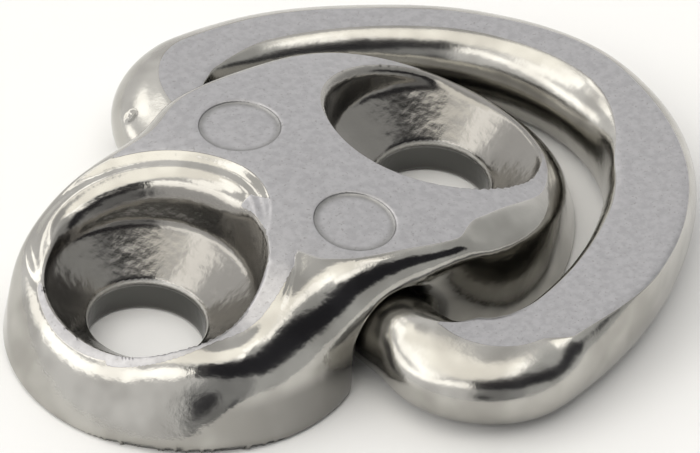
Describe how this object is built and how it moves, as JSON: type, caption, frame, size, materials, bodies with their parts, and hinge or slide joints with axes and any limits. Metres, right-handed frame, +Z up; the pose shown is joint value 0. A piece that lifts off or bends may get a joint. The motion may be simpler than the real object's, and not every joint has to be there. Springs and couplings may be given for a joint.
{
  "type": "folding pad eye",
  "caption": "Low oval deck fitting with countersunk screw holes and a D-shaped ring that folds flat to either side on its own straight bar.",
  "frame": {"origin": "on the deck face of the body, midway between the two screw holes", "axes": "+X along the row of screw holes to the side on which the ring lies at rest, +Y along the ring's bar, +Z up from the deck"},
  "size_m": [0.0557, 0.0458, 0.0103],
  "materials": {
    "body_steel": "polished sides, satin top",
    "ring_steel": "polished sides, satin flats",
    "ball_steel": "polished",
    "spring_steel": "drawn wire"
  },
  "bodies": {
    "body": {"body": "body_steel", "thrust_ball": "ball_steel", "thrust_spring": "spring_steel"},
    "ring": {"ring": "ring_steel"}
  },
  "joints": [
    {"name": "ring_fold", "type": "hinge", "parent": "body", "child": "ring", "pos_m": [0, 0, 0.0031], "axis": [0, -1, 0], "range_deg": [0, 180]}
  ]
}
